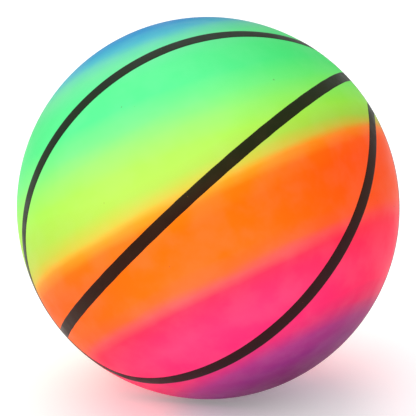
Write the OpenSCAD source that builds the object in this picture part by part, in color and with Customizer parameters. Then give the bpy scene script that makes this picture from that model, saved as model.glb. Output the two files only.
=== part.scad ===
// Inflated PVC play ball: one moulded skin, a welded-in valve seat with a push-in plug,
// and black lines printed round it. The origin is the ball's centre, +Z is up, and
// the valve points along +Y.

/* [Ball] */
// Diameter of the inflated ball
ball_d = 220; // [160:1:300]
// Thickness of the moulded skin
skin_t = 1; // [0.6:0.1:2.4]

/* [Printed lines] */
// Width of the centre line and the cross line
centre_w = 6.6; // [3:0.1:12]
// Width of the curved line
curve_w = 7.5; // [3:0.1:12]
// Thickness of the layer of ink
ink_t = 0.2; // [0.1:0.05:0.4]
// Turn of the print about X, first
print_tip = -19.7; // [-30:0.1:0]
// Turn of the print about Y, second
print_lean = 43.4; // [30:0.1:60]
// Turn of the print about Z, last
print_swing = -22.6; // [-35:0.1:-10]

/* [Curved line] */
// Turn of the curved line about Y, which isn't quite the print's own
curve_lean = 42.2; // [41:0.1:46]
// Angle from the lower pole to the curved line's closed ends
end_gap = 17.5; // [12:0.5:25]
// Angle from the upper pole to the curved line's waist
waist_gap = 12.5; // [9:0.5:25]
// How far out the line keeps to the diagonals before it turns in
diagonal_hug = 12; // [4:1:16]

/* [Valve seat] */
// Diameter of the seat's neck, which fills the hole in the skin
neck_d = 16; // [13:0.5:20]
// Diameter of the flange welded inside the skin
flange_d = 30; // [24:0.5:40]
// Thickness of the flange
flange_t = 1.2; // [0.8:0.1:2]
// Outside diameter of the sleeve round the air bore
sleeve_d = 10; // [8.5:0.5:12]
// Length of the seat from the ball's surface to the sleeve's inner end
seat_l = 16; // [14:0.5:24]
// Diameter of the air bore
bore_d = 5; // [4:0.1:6.5]

/* [Valve plug] */
// Diameter of the plug's head
head_d = 10; // [8:0.25:11.5]
// Thickness of the plug's head
head_t = 1.4; // [1:0.1:2.2]
// Diameter of the plain stem
stem_d = 4.2; // [3:0.1:4.6]
// Length of the stem under the head
stem_l = 12.5; // [10:0.5:16]
// Length of one sealing rib along the stem
rib_l = 1.2; // [0.8:0.1:2]
// Number of sealing ribs
rib_count = 3; // [1:1:3]
// Spacing of the sealing ribs
rib_pitch = 3; // [2.5:0.1:3.5]
// Diameter of the nail notch in the head's rim
notch_d = 3; // [2:0.25:4]

/* [Fits] */
// Gap all round the plug's head in its recess
head_gap = 0.25; // [0.15:0.05:0.5]
// Gap all round a sealing rib in the bore
rib_gap = 0.04; // [0.02:0.01:0.08]
// Gap under the plug's head
seat_gap = 0.1; // [0.05:0.05:0.3]

/* [Hidden] */

ball_r = ball_d / 2;
skin_in_r = ball_r - skin_t;
ink_r = ball_r + ink_t;

// A tool that cuts right through a face runs this far past it
past = 2;

// The plug's head lies a little below the ball's surface
head_sink = 0.2;
recess_d = head_d + 2 * head_gap;
recess_floor = ball_r - head_sink - head_t - seat_gap;
head_under = recess_floor + seat_gap;
rib_d = bore_d - 2 * rib_gap;
// From the head's underside to the middle of the first rib
first_rib = 3;
// Length of the stem's tapered tip, and its end diameter
tip_l = 2;
tip_d = 2.8;
// Small bevel on the head's upper edge
head_bevel = 0.35;

// Steps along each half of the curved line
curve_steps = 120;
$fn = 96;

// Turns local +Z to the valve's axis, +Y
module on_valve() {
    rotate([-90, 0, 0]) children();
}

// Turns the print's own frame: the centre line lies in its YZ plane, and its poles on Z
module in_print() {
    rotate([print_tip, print_lean, print_swing]) children();
}

// Turns the curved line's frame, a little out of line with the rest of the print
module in_curve() {
    rotate([print_tip, curve_lean, print_swing]) children();
}

// ---------- skin and valve ----------

module ball_skin() {
    color("darkorange")
    difference() {
        sphere(r = ball_r, $fn = 180);
        sphere(r = skin_in_r, $fn = 180);
        on_valve() cylinder(d = neck_d, h = ball_r + past);
    }
}

// The seat's outer form, before its recess and bore
module seat_body() {
    intersection() {
        sphere(r = ball_r, $fn = 180);
        on_valve() translate([0, 0, ball_r - seat_l]) {
            translate([0, 0, seat_l - skin_t - flange_t]) cylinder(d = neck_d, h = skin_t + flange_t);
            cylinder(d = sleeve_d, h = seat_l);
        }
    }
    difference() {
        intersection() {
            sphere(r = skin_in_r, $fn = 180);
            on_valve() cylinder(d = flange_d, h = ball_r);
        }
        sphere(r = skin_in_r - flange_t, $fn = 180);
    }
}

module valve_seat() {
    color("ivory")
    difference() {
        seat_body();
        on_valve() {
            translate([0, 0, recess_floor]) cylinder(d = recess_d, h = ball_r - recess_floor + past);
            translate([0, 0, ball_r - seat_l - past]) cylinder(d = bore_d, h = seat_l + 2 * past);
        }
    }
}

module sealing_rib() {
    // Rounded land: full size in the middle, bevelled at both ends
    edge = rib_l / 4;
    cylinder(d1 = stem_d, d2 = rib_d, h = edge);
    translate([0, 0, edge]) cylinder(d = rib_d, h = rib_l - 2 * edge);
    translate([0, 0, rib_l - edge]) cylinder(d1 = rib_d, d2 = stem_d, h = edge);
}

module plug_head() {
    difference() {
        union() {
            cylinder(d = head_d, h = head_t - head_bevel);
            translate([0, 0, head_t - head_bevel])
                cylinder(d1 = head_d, d2 = head_d - 2 * head_bevel, h = head_bevel);
        }
        translate([head_d / 2, 0, -past]) cylinder(d = notch_d, h = head_t + 2 * past);
    }
}

module plug_stem() {
    translate([0, 0, tip_l]) cylinder(d = stem_d, h = stem_l - tip_l);
    cylinder(d1 = tip_d, d2 = stem_d, h = tip_l);
    for (i = [0 : rib_count - 1])
        translate([0, 0, stem_l - first_rib - rib_l / 2 - i * rib_pitch]) sealing_rib();
}

module valve_plug() {
    color("white")
    on_valve() {
        translate([0, 0, head_under]) plug_head();
        translate([0, 0, head_under - stem_l]) plug_stem();
    }
}

// ---------- printed lines ----------

// A layer of ink all over the ball
module ink_shell() {
    difference() {
        sphere(r = ink_r, $fn = 180);
        sphere(r = ball_r, $fn = 180);
    }
}

// The slab that cuts a line round a full circle, at a right angle to Z
module ring_zone() {
    cylinder(r = ink_r + past, h = centre_w, center = true, $fn = 180);
}

// A line of ink round a full circle, at a right angle to Z
module ring_line() {
    intersection() {
        ink_shell();
        ring_zone();
    }
}

// Latitude of the curved line, which runs from a closed end (a = 0) over the waist (a = 90)
// to the closed end on the other side (a = 180)
function curve_lat(a) =
    -(90 - end_gap) * (1 + cos(2 * a)) / 2 + (90 - waist_gap) * (1 - cos(2 * a)) / 2;

// How strongly an end or the waist is pulled in towards its pole
function curve_pull(gap) = pow(sin(gap), 2) / pow(cos(gap), diagonal_hug);

// Longitude of the curved line from the centre line's plane: 45 degrees along the diagonals
function curve_lon(lat) =
    let (
        pull = lat < 0 ? curve_pull(end_gap) : -curve_pull(waist_gap),
        turn = pull * pow(abs(sin(lat)), diagonal_hug) / pow(cos(lat), 2)
    )
    acos(max(-1, min(1, turn))) / 2;

// Point of the curved line on a ball of radius 1, in its own frame
function curve_point(a) =
    let (lat = curve_lat(a), lon = curve_lon(lat), side = a < 0 ? -1 : 1, front = cos(a) < 0 ? 1 : -1)
    [side * cos(lat) * sin(lon), front * cos(lat) * cos(lon), sin(lat)];

// Point of the curved line's edge, half its width to one side, out past the ink
function curve_edge(a, side) =
    let (
        here = curve_point(a),
        along = curve_point(a + 0.5) - curve_point(a - 0.5),
        across = cross(here, along / norm(along)),
        half = curve_w / ball_d * 180 / PI
    )
    (ink_r + past) * (here * cos(half) + across * sin(half) * side);

// A wedge from the ball's centre that cuts some steps of the curved line from the ink
module curve_wedge(first, last) {
    spots = [for (i = [first : last]) i * 179.5 / curve_steps + 0.25];
    count = last - first;
    steps = [for (i = [0 : count - 1]) i];
    left = [for (a = spots) curve_edge(a, -1)];
    right = [for (a = spots) curve_edge(a, 1)];
    // Point numbers: the centre is 0, the left edge starts at 1, the right edge follows
    start = count + 2;
    polyhedron(
        points = concat([[0, 0, 0]], left, right),
        faces = concat(
            [for (i = steps) [0, 1 + i, 2 + i]],
            [for (i = steps) [0, start + i + 1, start + i]],
            [for (i = steps) [1 + i, start + i, 2 + i]],
            [for (i = steps) [start + i, start + i + 1, 2 + i]],
            [[0, start, 1], [0, 1 + count, start + count]]
        )
    );
}

// The far half of the curved line, and its mirror image, the near half
module far_zone() {
    curve_wedge(0, curve_steps);
}

module near_zone() {
    mirror([1, 0, 0]) far_zone();
}

// The part of the far half round its waist, where the cross line meets it
module waist_zone() {
    curve_wedge(curve_steps / 2 - 7, curve_steps / 2 + 7);
}

// The slab of the centre line, which parts the curved line's two halves
module centre_zone() {
    in_print() rotate([0, 90, 0]) ring_zone();
}

module centre_line() {
    color("black")
    in_print() rotate([0, 90, 0]) ring_line();
}

module cross_line() {
    color("black")
    difference() {
        in_print() rotate([90, 0, 0]) ring_line();
        centre_zone();
        in_curve() waist_zone();
        in_curve() mirror([1, 0, 0]) waist_zone();
    }
}

module near_curve() {
    color("black")
    difference() {
        in_curve() intersection() {
            ink_shell();
            near_zone();
        }
        centre_zone();
    }
}

module far_curve() {
    color("black")
    difference() {
        in_curve() intersection() {
            ink_shell();
            far_zone();
        }
        centre_zone();
    }
}

ball_skin();
valve_seat();
valve_plug();
centre_line();
cross_line();
near_curve();
far_curve();
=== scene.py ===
"""An inflated play ball: sprayed PVC skin, printed black lines, and a push-in plug in a welded valve seat.

All lengths are in metres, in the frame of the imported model: the ball's centre is the origin, +Z is up,
and the valve's axis is +Y, on the side away from the camera.
"""

import math

import bpy
import numpy as np
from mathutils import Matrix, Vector


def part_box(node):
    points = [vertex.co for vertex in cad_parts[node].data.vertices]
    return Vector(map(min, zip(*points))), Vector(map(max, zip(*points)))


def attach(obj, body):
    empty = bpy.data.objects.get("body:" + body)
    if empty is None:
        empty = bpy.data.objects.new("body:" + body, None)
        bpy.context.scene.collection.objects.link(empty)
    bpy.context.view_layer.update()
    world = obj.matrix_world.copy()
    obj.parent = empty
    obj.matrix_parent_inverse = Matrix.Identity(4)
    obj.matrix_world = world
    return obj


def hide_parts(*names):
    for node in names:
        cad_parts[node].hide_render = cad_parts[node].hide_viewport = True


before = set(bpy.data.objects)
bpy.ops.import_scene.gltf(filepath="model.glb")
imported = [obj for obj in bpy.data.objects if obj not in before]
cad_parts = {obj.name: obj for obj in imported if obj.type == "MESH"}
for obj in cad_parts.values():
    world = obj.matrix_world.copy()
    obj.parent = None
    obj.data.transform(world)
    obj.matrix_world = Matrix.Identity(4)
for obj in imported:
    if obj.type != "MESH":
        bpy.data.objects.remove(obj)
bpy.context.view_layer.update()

MM = 0.001

# ---------- sizes ----------

BALL_R = round(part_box("ball_skin")[1].z, 4)
SKIN_T = 1.0 * MM
SEAT_LOW, SEAT_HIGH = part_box("valve_seat")
PLUG_LOW, PLUG_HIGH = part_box("valve_plug")

NECK_R = 8.0 * MM
FLANGE_R = SEAT_HIGH.x
FLANGE_T = 1.2 * MM
SLEEVE_R = 5.0 * MM
BORE_R = 2.5 * MM
HEAD_R = -PLUG_LOW.x
HEAD_T = 1.4 * MM
HEAD_GAP = 0.25 * MM
STEM_R = 2.1 * MM
RIB_R = BORE_R - 0.04 * MM
RIB_L = 1.2 * MM
RIB_PITCH = 3.0 * MM
RIB_COUNT = 3
FIRST_RIB = 3.0 * MM
NOTCH_R = 1.5 * MM

# The printed lines, laid out in a frame of their own that is turned into place
PRINT_TURN = (-19.7, 43.4, -22.6)
CURVE_TURN = (-19.7, 42.2, -22.6)
CENTRE_W = 6.6 * MM
CURVE_W = 7.5 * MM
INK_T = 0.12 * MM
# The curved line: its closed ends' angle from the lower pole, its waist's from the upper pole,
# and how far out it keeps to the diagonals
END_GAP = math.radians(17.5)
WAIST_GAP = math.radians(12.5)
DIAGONAL_HUG = 12
# Its two halves stop this far (in radians of the path) short of the centre line's middle
END_TUCK = 0.01
# How far the stencil's edge wanders, how deep the ink is rooted in the skin, and where across
# the line the ink's height is set, close together at the edges so that they are rounded
STENCIL_WANDER = 0.03 * MM
INK_ROOT = 0.06 * MM
INK_COLUMNS = np.array([-1.0, -0.985, -0.94, -0.8, -0.4, 0.0, 0.4, 0.8, 0.94, 0.985, 1.0])
INK_EDGE_POWER = 16
# Steps along each kind of line
CIRCLE_STEPS = 480
CURVE_STEPS = 420
LONG_CROSS_STEPS = 220
SHORT_CROSS_STEPS = 16

# The spray's axis: the bands of colour are rings round it, and blue is at its top
SPRAY_AXIS = Vector((-0.396, 0.398, 0.827)).normalized()
SPRAY_SIDE = Vector((0.916, 0.104, 0.388)).normalized()


# ---------- shader maths ----------


class Sock:
    """A socket of a node, so that shader maths is written as an expression."""

    def __init__(self, paint, socket):
        self.paint = paint
        self.socket = socket

    def maths(self, operation, first, second):
        return self.paint.node("ShaderNodeMath", {"operation": operation}, {0: first, 1: second})

    def __add__(self, other):
        return self.maths("ADD", self, other)

    def __sub__(self, other):
        return self.maths("SUBTRACT", self, other)

    def __mul__(self, other):
        return self.maths("MULTIPLY", self, other)


class Paint:
    """One material, built from a Principled shader."""

    def __init__(self, name, **constants):
        self.material = bpy.data.materials.new(name)
        self.material.use_nodes = True
        self.tree = self.material.node_tree
        self.shader = self.tree.nodes["Principled BSDF"]
        for socket, value in constants.items():
            self.shader.inputs[socket.replace("_", " ")].default_value = value

    def node(self, kind, settings=None, inputs=None, output=0):
        """Adds any node: its settings first, then the values or links of its sockets."""
        made = self.tree.nodes.new(kind)
        for key, value in (settings or {}).items():
            if key == "stops":
                self.set_stops(made.color_ramp, value)
            else:
                setattr(made, key, value)
        for key, value in (inputs or {}).items():
            self.put(made.inputs[key], value)
        return Sock(self, made.outputs[output])

    def put(self, socket, value):
        if isinstance(value, Sock):
            self.tree.links.new(value.socket, socket)
        else:
            socket.default_value = value

    def set_stops(self, ramp, stops):
        while len(ramp.elements) < len(stops):
            ramp.elements.new(1.0)
        for element, (place, colour) in zip(ramp.elements, sorted(stops)):
            element.position = place
            element.color = (*colour, 1.0)

    def give(self, socket, value):
        """Feeds one of the shader's own sockets."""
        self.put(self.shader.inputs[socket], value)

    # --- the few nodes that every finish uses ---

    def place(self):
        return self.node("ShaderNodeTexCoord", output="Object")

    def noise(self, vector, scale, detail=2.0, rough=0.5):
        inputs = {"Vector": vector, "Scale": scale, "Detail": detail, "Roughness": rough}
        return self.node("ShaderNodeTexNoise", {"normalize": True}, inputs)

    def step(self, value, low, high, to_low=0.0, to_high=1.0):
        """Runs a value smoothly from to_low at low to to_high at high."""
        settings = {"interpolation_type": "SMOOTHSTEP", "clamp": True}
        numbers = {"Value": value, "From Min": low, "From Max": high, "To Min": to_low, "To Max": to_high}
        return self.node("ShaderNodeMapRange", settings, numbers)

    def blend(self, factor, first, second, mode="MIX"):
        settings = {"data_type": "RGBA", "blend_type": mode, "clamp_factor": True}
        return self.node("ShaderNodeMix", settings, {0: factor, 6: first, 7: second}, output=2)

    def bump(self, height, strength, distance):
        inputs = {"Height": height, "Strength": strength, "Distance": distance}
        return self.node("ShaderNodeBump", None, inputs)


def linear(red, green, blue):
    """A screen colour, 0 to 255, as the linear light that the shader takes."""
    parts = []
    for value in (red, green, blue):
        share = value / 255
        parts.append(share / 12.92 if share <= 0.04045 else ((share + 0.055) / 1.055) ** 2.4)
    return tuple(parts)


# ---------- the rainbow spray ----------

# Each colour with its height on the spray's axis, from -1 at the bottom to 1 at the top
# The colours near the bottom (-1.00 to -0.87) are partly the paint's own deep purple and partly painted
# shade of the ball's underside
BANDS = (
    (-1.00, (108, 12, 84)),
    (-0.93, (136, 32, 116)),
    (-0.87, (168, 48, 128)),
    (-0.81, (228, 42, 112)),
    (-0.75, (250, 42, 112)),
    (-0.66, (250, 56, 116)),
    (-0.58, (252, 50, 104)),
    (-0.53, (250, 52, 92)),
    (-0.49, (250, 92, 90)),
    (-0.45, (250, 108, 44)),
    (-0.39, (250, 112, 8)),
    (-0.22, (250, 110, 0)),
    (-0.145, (250, 120, 4)),
    (-0.09, (246, 160, 30)),
    (-0.05, (218, 202, 70)),
    (0.02, (184, 224, 84)),
    (0.12, (174, 236, 88)),
    (0.22, (156, 238, 112)),
    (0.32, (122, 236, 134)),
    (0.44, (86, 230, 140)),
    (0.56, (84, 226, 138)),
    (0.68, (100, 216, 148)),
    (0.74, (96, 202, 166)),
    (0.80, (68, 172, 188)),
    (0.88, (28, 138, 188)),
    (1.00, (14, 114, 178)),
)


def across_spray(paint, place):
    """How far to one side of the spray's axis a point is, from -1 to 1."""
    dot = {"operation": "DOT_PRODUCT"}
    return paint.node("ShaderNodeVectorMath", dot, {0: place, 1: SPRAY_SIDE / BALL_R}, output="Value")


def spray_height(paint, place):
    """How far up the spray's axis a point is, from -1 to 1, with the drift of a hand-held spray gun."""
    dot = {"operation": "DOT_PRODUCT"}
    height = paint.node("ShaderNodeVectorMath", dot, {0: place, 1: SPRAY_AXIS / BALL_R}, output="Value")
    sideways = across_spray(paint, place)
    # The lower bands lean one way and the upper ones the other, as the ball was turned by hand
    lean = paint.step(height, -0.06, 0.18, 0.036, -0.062)
    drift = paint.noise(place, 9.0, 1.0) - 0.5
    # Streaks follow the bands: a noise squeezed along the axis
    squeezed = paint.node("ShaderNodeMapping", {"vector_type": "TEXTURE"}, {
        "Vector": place,
        "Rotation": SPRAY_AXIS.to_track_quat("Z", "Y").to_euler(),
        "Scale": (1.0, 1.0, 0.16),
    })
    streak = paint.noise(squeezed, 26.0, 3.0, 0.55) - 0.5
    # The bands sag a little towards their far sides
    sag = sideways * sideways * 0.045
    return height - sideways * lean - sag + drift * 0.02 + streak * 0.03


def spray_colour(paint, height):
    stops = [((level + 1) / 2, linear(*colour)) for level, colour in BANDS]
    return paint.node("ShaderNodeValToRGB", {"stops": stops}, {"Fac": height * 0.5 + 0.5})


def specks(paint, place, scale, size):
    """Small round spots, far apart, where dust sat in the wet spray."""
    settings = {"feature": "F1", "distance": "EUCLIDEAN"}
    inputs = {"Vector": place, "Scale": scale, "Randomness": 1.0}
    near = paint.node("ShaderNodeTexVoronoi", settings, inputs, output="Distance")
    return paint.step(near, size * 0.5, size, 1.0, 0.0)


def skin_paint():
    paint = Paint("rainbow_pvc", Roughness=0.5, IOR=1.5, Specular_IOR_Level=0.05)
    place = paint.place()
    colour = spray_colour(paint, spray_height(paint, place))
    # Painted shade: the colour is darkened and deepened towards both sides of the ball, most towards +X,
    # where the light falls off
    sideways = across_spray(paint, place)
    side_shade = paint.step(sideways, 0.0, 0.9, 0.0, 0.6) + paint.step(sideways, -0.9, -0.3, 0.32, 0.0)
    shaded_colour = paint.blend(1.0, colour, (1.1, 0.92, 0.8, 1.0), "MULTIPLY")
    colour = paint.blend(side_shade, colour, shaded_colour, "MULTIPLY")
    mottle = paint.noise(place, 60.0, 3.0)
    colour = paint.blend(paint.step(mottle, 0.35, 0.7, 0.0, 0.02), colour, (0.9, 0.9, 0.9, 1.0))
    spots = specks(paint, place, 55.0, 0.035)
    colour = paint.blend(spots * 0.5, colour, (0.12, 0.05, 0.03, 1.0))
    paint.give("Base Color", colour)
    scuff = paint.noise(place, 34.0, 4.0, 0.65)
    paint.give("Roughness", paint.step(scuff, 0.3, 0.75, 0.40, 0.54))
    peel = paint.noise(place, 900.0, 2.0)
    swell = paint.noise(place, 45.0, 2.0)
    paint.give("Normal", paint.bump(peel * 0.25 + swell, 0.35, 0.12 * MM))
    return paint.material


def ink_paint():
    paint = Paint("black_ink", Roughness=0.4, IOR=1.5, Specular_IOR_Level=0.07)
    place = paint.place()
    under = spray_colour(paint, spray_height(paint, place))
    cloud = paint.noise(place, 120.0, 3.0, 0.6)
    ink = paint.blend(paint.step(cloud, 0.3, 0.7), (0.005, 0.003, 0.002, 1.0), (0.010, 0.005, 0.003, 1.0))
    ink = paint.blend(0.02, ink, under)
    pinholes = specks(paint, place, 260.0, 0.05)
    paint.give("Base Color", paint.blend(pinholes * 0.35, ink, under))
    paint.give("Roughness", paint.step(cloud, 0.3, 0.7, 0.36, 0.5))
    grain = paint.noise(place, 1500.0, 2.0)
    paint.give("Normal", paint.bump(grain, 0.3, 0.05 * MM))
    return paint.material


def vinyl_paint(name, colour, shade, rough):
    """Soft clear-white PVC with faint clouds, and grime where it is rubbed."""
    paint = Paint(name, Roughness=rough, IOR=1.5)
    place = paint.place()
    cloud = paint.noise(place, 420.0, 3.0, 0.6)
    paint.give("Base Color", paint.blend(paint.step(cloud, 0.35, 0.75), colour, shade))
    paint.give("Roughness", paint.step(cloud, 0.3, 0.7, rough - 0.06, rough + 0.08))
    grain = paint.noise(place, 2600.0, 2.0)
    paint.give("Normal", paint.bump(grain, 0.3, 0.04 * MM))
    return paint.material


def floor_paint():
    # Painted light: the floor glows a little though it is no lamp, which lifts the ball's shadow and lights
    # its underside
    glow = {"Emission_Color": (1.0, 1.0, 1.0, 1.0), "Emission_Strength": 0.2}
    paint = Paint("studio_floor", Roughness=0.8, IOR=1.3, **glow)
    place = paint.place()
    cloud = paint.noise(place, 1.3, 2.0)
    paint.give("Base Color", paint.blend(cloud, (0.93, 0.93, 0.93, 1.0), (0.95, 0.95, 0.95, 1.0)))
    return paint.material


# ---------- mesh helpers ----------


def make_piece(name, points, faces, material, body, node=None, sharp=40):
    mesh = bpy.data.meshes.new(name)
    mesh.from_pydata([tuple(p) for p in points], [], faces)
    mesh.shade_smooth()
    mesh.set_sharp_from_angle(angle=math.radians(sharp))
    mesh.materials.append(material)
    piece = bpy.data.objects.new(name, mesh)
    bpy.context.scene.collection.objects.link(piece)
    if body:
        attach(piece, body)
        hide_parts(node)
    return piece


def arc(centre, radius, start, end, steps):
    """Points of an arc in the (radius, Y) plane, angles in degrees from the radius axis."""
    angles = [math.radians(start + (end - start) * i / steps) for i in range(steps + 1)]
    return [(centre[0] + radius * math.cos(a), centre[1] + radius * math.sin(a)) for a in angles]


def filleted(corners, steps=4):
    """A closed outline of (r, y, fillet radius) corners, with each corner rounded by its own radius."""
    out = []
    count = len(corners)
    for i, (r, y, fillet) in enumerate(corners):
        here = Vector((r, y))
        before = Vector(corners[i - 1][:2]) - here
        after = Vector(corners[(i + 1) % count][:2]) - here
        if fillet == 0:
            out.append((r, y))
            continue
        half = before.angle(after) / 2
        back = min(fillet / math.tan(half), before.length / 2, after.length / 2)
        radius = back * math.tan(half)
        middle = here + (before.normalized() + after.normalized()).normalized() * (radius / math.sin(half))
        first = here + before.normalized() * back - middle
        last = here + after.normalized() * back - middle
        for k in range(steps + 1):
            spoke = first.lerp(last, k / steps).normalized() * radius
            out.append(tuple(middle + spoke))
    return out


def lathe(profile, segments):
    """Turns an outline of (r, y) points about the Y axis. Points on the axis become one vertex."""
    points, rings, faces = [], [], []
    angles = [2 * math.pi * k / segments for k in range(segments)]
    for r, y in profile:
        if r < 1e-7:
            rings.append([len(points)] * segments)
            points.append((0.0, y, 0.0))
        else:
            rings.append(list(range(len(points), len(points) + segments)))
            points.extend((r * math.sin(a), y, r * math.cos(a)) for a in angles)
    for lower, upper in zip(rings, rings[1:]):
        add_band(faces, lower, upper)
    if profile[0][0] > 1e-7:
        add_band(faces, rings[-1], rings[0])
    return points, faces


def add_band(faces, lower, upper):
    """Joins two rings with faces, leaving out corners that meet on the axis."""
    count = len(lower)
    for k in range(count):
        after = (k + 1) % count
        corners = [lower[k], lower[after], upper[after], upper[k]]
        unique = list(dict.fromkeys(corners))
        if len(unique) > 2:
            faces.append(unique)


# ---------- the skin ----------

HOLE_LIP = 0.3 * MM
OUTER_STEPS = 200
INNER_STEPS = 60
SKIN_SEGMENTS = 288

# Low, long swells that a blown-up moulding has: direction, waves, height and phase
SWELLS = (
    (Vector((0.3, 0.5, 0.8)), 5.0, 0.05 * MM, 0.4),
    (Vector((-0.7, 0.2, 0.6)), 7.0, 0.035 * MM, 1.9),
    (Vector((0.6, -0.7, 0.3)), 6.0, 0.04 * MM, 3.1),
    (Vector((0.1, 0.9, -0.4)), 9.0, 0.02 * MM, 5.0),
)


def skin_swell(ways):
    """Height of the skin above a true ball, for an array of directions."""
    total = np.zeros(len(ways))
    for way, waves, height, phase in SWELLS:
        total += height * np.sin(ways @ np.array(way.normalized()) * waves + phase)
    return total


def skin_points(ways, height):
    """Points on the skin in those directions, raised by that height."""
    ways = ways / np.linalg.norm(ways, axis=1)[:, None]
    return ways * (BALL_R + skin_swell(ways) + height)[:, None]


def build_skin(material):
    """One closed shell: outer face, inner face, and the wall of the valve hole between them."""
    inner_r = BALL_R - SKIN_T
    lip = HOLE_LIP
    rim = math.degrees(math.asin((NECK_R + lip) / BALL_R))
    inner_rim = math.degrees(math.asin(NECK_R / inner_r))
    outer = arc((0, 0), BALL_R, -90, 90 - rim, OUTER_STEPS)
    inner = arc((0, 0), inner_r, 90 - inner_rim, -90, INNER_STEPS)
    outer[0] = (0.0, -BALL_R)
    inner[-1] = (0.0, -inner_r)
    edge = math.sqrt(BALL_R**2 - NECK_R**2)
    bend = [(NECK_R + lip * (1 - math.sin(a)), edge - lip * (1 - math.cos(a))) for a in (0.5, 1.0, 1.57)]
    points, faces = lathe(outer + bend + inner, SKIN_SEGMENTS)
    points = np.array(points)
    reach = np.linalg.norm(points, axis=1)
    ways = points / reach[:, None]
    points = ways * (reach + skin_swell(ways))[:, None]
    return make_piece("skin", points, faces, material, "ball", "ball_skin")


# ---------- the printed lines ----------


def turned(points, turn):
    """Turns points of a print's own frame into place: about X, then Y, then Z."""
    x, y, z = (math.radians(a) for a in turn)
    about_x = np.array([[1, 0, 0], [0, math.cos(x), -math.sin(x)], [0, math.sin(x), math.cos(x)]])
    about_y = np.array([[math.cos(y), 0, math.sin(y)], [0, 1, 0], [-math.sin(y), 0, math.cos(y)]])
    about_z = np.array([[math.cos(z), -math.sin(z), 0], [math.sin(z), math.cos(z), 0], [0, 0, 1]])
    return points @ (about_z @ about_y @ about_x).T


def centre_path(angles):
    """The full circle in the print's YZ plane."""
    return np.stack([0 * angles, np.cos(angles), np.sin(angles)], 1)


def cross_path(angles):
    """The full circle in the print's XZ plane, counted from its pole on Z."""
    return np.stack([np.sin(angles), 0 * angles, np.cos(angles)], 1)


def curve_pull(gap):
    """How strongly an end or the waist of the curved line is pulled in towards its pole."""
    return math.sin(gap) ** 2 / math.cos(gap) ** DIAGONAL_HUG


def curve_path(angles, side):
    """Half of the curved line: from a closed end at 0, over the waist, to the other end at pi."""
    share = (1 - np.cos(2 * angles)) / 2
    lat = (math.pi / 2 - WAIST_GAP) * share - (math.pi / 2 - END_GAP) * (1 - share)
    pull = np.where(lat < 0, curve_pull(END_GAP), -curve_pull(WAIST_GAP))
    turn = pull * np.abs(np.sin(lat)) ** DIAGONAL_HUG / np.cos(lat) ** 2
    lon = np.arccos(np.clip(turn, -1, 1)) / 2 * np.where(angles < 0, -1, 1)
    front = np.where(np.cos(angles) < 0, 1, -1)
    return np.stack([side * np.cos(lat) * np.sin(lon), front * np.cos(lat) * np.cos(lon), np.sin(lat)], 1)


def near_path(angles):
    return curve_path(angles, -1)


def far_path(angles):
    return curve_path(angles, 1)


def ink_strip(path, turn, start, end, width, steps, closed):
    """Points and faces of one strip of ink that lies on the skin, thin at its edges."""
    angles = np.linspace(start, end, steps, endpoint=not closed)
    middle = path(angles)
    nudge = 1e-4
    along = path(angles + nudge) - path(angles - nudge)
    across = np.cross(middle, along)
    across /= np.linalg.norm(across, axis=1)[:, None]
    # The stencil's edge wanders a little
    wander = STENCIL_WANDER * (np.sin(angles * 37.0) + np.sin(angles * 61.0 + 1.3))
    half = (width / 2 + wander) / BALL_R

    def row(column, height):
        away = (half * column)[:, None]
        return skin_points(turned(middle * np.cos(away) + across * np.sin(away), turn), height)

    rows = [row(c, INK_T * (1 - abs(c) ** INK_EDGE_POWER) ** 0.5) for c in INK_COLUMNS]
    rows += [row(c, -INK_ROOT) for c in INK_COLUMNS[::-1][1:-1]]
    ring = len(rows)
    points = np.stack(rows, 1).reshape(-1, 3)
    faces = []
    for i in range(steps if closed else steps - 1):
        here, after = i * ring, (i + 1) % steps * ring
        for k in range(ring):
            beside = (k + 1) % ring
            faces.append([here + k, here + beside, after + beside, after + k])
    if not closed:
        faces.append(list(range(ring))[::-1])
        faces.append([(steps - 1) * ring + k for k in range(ring)])
    return points, faces


def make_line(name, node, material, strips):
    points, faces = [], []
    for strip_points, strip_faces in strips:
        first = len(points)
        points.extend(strip_points)
        faces.extend([first + k for k in face] for face in strip_faces)
    return make_piece(name, points, faces, material, "ball", node)


def build_lines(material):
    full = 2 * math.pi
    centre_half = CENTRE_W / 2 / BALL_R
    curve_half = CURVE_W / 2 / BALL_R
    centre = ink_strip(centre_path, PRINT_TURN, 0, full, CENTRE_W, CIRCLE_STEPS, True)
    make_line("centre_print", "centre_line", material, [centre])
    # The curved line's halves run on into the centre line, which hides their ends
    for name, node, path in (("near_print", "near_curve", near_path), ("far_print", "far_curve", far_path)):
        half = ink_strip(path, CURVE_TURN, END_TUCK, math.pi - END_TUCK, CURVE_W, CURVE_STEPS, False)
        make_line(name, node, material, [half])
    # The cross line stops at each line that it meets
    skew = math.radians(CURVE_TURN[1] - PRINT_TURN[1])
    strips = []
    for side in (1, -1):
        waist = WAIST_GAP + side * skew
        for start, end, steps in (
            (centre_half, waist - curve_half, SHORT_CROSS_STEPS),
            (waist + curve_half, math.pi - centre_half, LONG_CROSS_STEPS),
        ):
            span = (side * start, side * end)
            strips.append(ink_strip(cross_path, PRINT_TURN, *span, CENTRE_W, steps, False))
    make_line("cross_print", "cross_line", material, strips)


# ---------- the valve ----------


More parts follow.
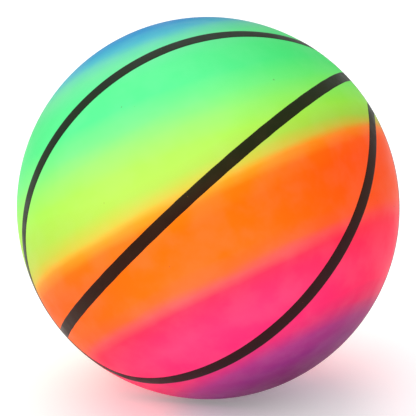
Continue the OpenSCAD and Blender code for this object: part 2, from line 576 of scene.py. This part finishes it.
def build_seat(material):
    """The welded insert: flange, neck flush with the skin, recess for the head, and the bored sleeve."""
    inner_end = SEAT_LOW.y
    skin_in = BALL_R - SKIN_T
    under = skin_in - FLANGE_T
    floor = PLUG_HIGH.y - HEAD_T - 0.1 * MM
    recess = HEAD_R + HEAD_GAP
    face = math.sqrt(BALL_R**2 - recess**2)

    def on(ball, r):
        return math.sqrt(ball**2 - r**2)

    corners = [
        (BORE_R, inner_end, 0.2 * MM),
        (SLEEVE_R, inner_end, 0.5 * MM),
        (SLEEVE_R, on(under, SLEEVE_R), 0.5 * MM),
        (FLANGE_R * 0.5, on(under, FLANGE_R * 0.5), 0),
        (FLANGE_R, on(under, FLANGE_R), 0.3 * MM),
        (FLANGE_R, on(skin_in, FLANGE_R), 0.2 * MM),
        (FLANGE_R * 0.77, on(skin_in, FLANGE_R * 0.77), 0),
        (NECK_R, on(skin_in, NECK_R), 0),
        (NECK_R, on(BALL_R, NECK_R), 0.3 * MM),
        (NECK_R - 0.9 * MM, on(BALL_R, NECK_R) + 0.02 * MM, 0.2 * MM),
        (recess + 0.7 * MM, face - 0.12 * MM, 0.3 * MM),
        (recess + 0.2 * MM, face, 0.15 * MM),
        (recess, face, 0.1 * MM),
        (recess, floor, 0.15 * MM),
        (BORE_R + 0.35 * MM, floor, 0.1 * MM),
        (BORE_R, floor - 0.35 * MM, 0.1 * MM),
    ]
    points, faces = lathe(filleted(corners), 128)
    return make_piece("seat_vinyl_insert", points, faces, material, "ball", "valve_seat", 50)


def build_plug(material):
    """The push-in stopper: a dished head with a nail notch, and a stem with sealing ribs."""
    top = PLUG_HIGH.y
    under = top - HEAD_T
    tip = PLUG_LOW.y
    corners = [
        (0.0, tip, 0),
        (1.3 * MM, tip, 0.4 * MM),
        (STEM_R, tip + 2.0 * MM, 0.3 * MM),
    ]
    for i in reversed(range(RIB_COUNT)):
        middle = under - FIRST_RIB - i * RIB_PITCH
        corners += [
            (STEM_R, middle - RIB_L / 2, 0.1 * MM),
            (RIB_R, middle - RIB_L / 4, 0.12 * MM),
            (RIB_R, middle + RIB_L / 4, 0.12 * MM),
            (STEM_R, middle + RIB_L / 2, 0.1 * MM),
        ]
    corners += [
        (STEM_R, under, 0.2 * MM),
        (HEAD_R, under, 0.2 * MM),
        (HEAD_R, top, 0.35 * MM),
        (HEAD_R - 1.1 * MM, top, 0.2 * MM),
        (HEAD_R - 1.6 * MM, top - 0.25 * MM, 0.3 * MM),
        (0.0, top - 0.32 * MM, 0),
    ]
    points, faces = lathe(filleted(corners), 144)
    points = [notched(p, under) for p in points]
    return make_piece("plug_stopper", points, faces, material, "plug", "valve_plug", 50)


def notched(point, under):
    """Pulls the head's rim in round the nail notch, on its +X side."""
    x, y, z = point
    reach = math.hypot(x, z)
    if y < under - 0.05 * MM or reach < 1e-6:
        return point
    angle = math.atan2(z, x)
    rise = HEAD_R * math.sin(angle)
    if abs(rise) >= NOTCH_R or math.cos(angle) < 0:
        return point
    limit = HEAD_R * math.cos(angle) - math.sqrt(NOTCH_R**2 - rise**2)
    if reach <= limit:
        return point
    # Rings of the rim stay in order, so the head's rounded edge follows the notch
    keep = limit - (HEAD_R - reach) * 0.35
    return (x * keep / reach, y, z * keep / reach)


# ---------- studio ----------

CAMERA_RAISE = 15.0
CAMERA_REACH = 7 * BALL_R
# The ball's width as a share of the frame's
BALL_SHARE = 0.9197
SENSOR_W = 36.0
FLOOR_HALF = 8.0
SKY_STRENGTH = 0.75
# Each softbox: name, place, width in metres, watts
SOFTBOXES = (
    ("key_softbox", (-0.75, -1.30, 0.85), 1.0, 8.0),
    ("top_softbox", (-0.6, 0.7, 3.0), 4.0, 48.0),
)


def build_camera():
    lens = bpy.data.cameras.new("camera")
    limb = BALL_R / math.sqrt(CAMERA_REACH**2 - BALL_R**2)
    lens.sensor_width = SENSOR_W
    lens.lens = lens.sensor_width / 2 / (limb / BALL_SHARE)
    camera = bpy.data.objects.new("camera", lens)
    raised = math.radians(CAMERA_RAISE)
    camera.location = (0, -CAMERA_REACH * math.cos(raised), CAMERA_REACH * math.sin(raised))
    camera.rotation_euler = (math.radians(90 - CAMERA_RAISE), 0, 0)
    bpy.context.scene.collection.objects.link(camera)
    bpy.context.scene.camera = camera


def build_light(name, place, size, power):
    light = bpy.data.lights.new(name, "AREA")
    light.shape = "DISK"
    light.size = size
    light.energy = power
    lamp = bpy.data.objects.new(name, light)
    lamp.location = place
    lamp.rotation_euler = (-Vector(place)).to_track_quat("-Z", "Y").to_euler()
    bpy.context.scene.collection.objects.link(lamp)


def build_studio():
    half = FLOOR_HALF
    corners = [(-half, -half), (half, -half), (half, half), (-half, half)]
    points = [(x, y, -BALL_R) for x, y in corners]
    floor = make_piece("floor", points, [[0, 1, 2, 3]], floor_paint(), None)
    world = bpy.data.worlds.new("studio")
    world.use_nodes = True
    sky = world.node_tree.nodes["Background"]
    sky.inputs["Color"].default_value = (1.0, 1.0, 1.0, 1.0)
    sky.inputs["Strength"].default_value = SKY_STRENGTH
    bpy.context.scene.world = world
    for softbox in SOFTBOXES:
        build_light(*softbox)
    bpy.context.scene.view_settings.view_transform = "Standard"


build_camera()
skin_finish = skin_paint()
ink_finish = ink_paint()
build_skin(skin_finish)
build_lines(ink_finish)
build_seat(vinyl_paint("seat_vinyl", (0.80, 0.77, 0.68, 1.0), (0.70, 0.66, 0.56, 1.0), 0.45))
build_plug(vinyl_paint("plug_vinyl", (0.86, 0.86, 0.84, 1.0), (0.78, 0.77, 0.73, 1.0), 0.38))
build_studio()
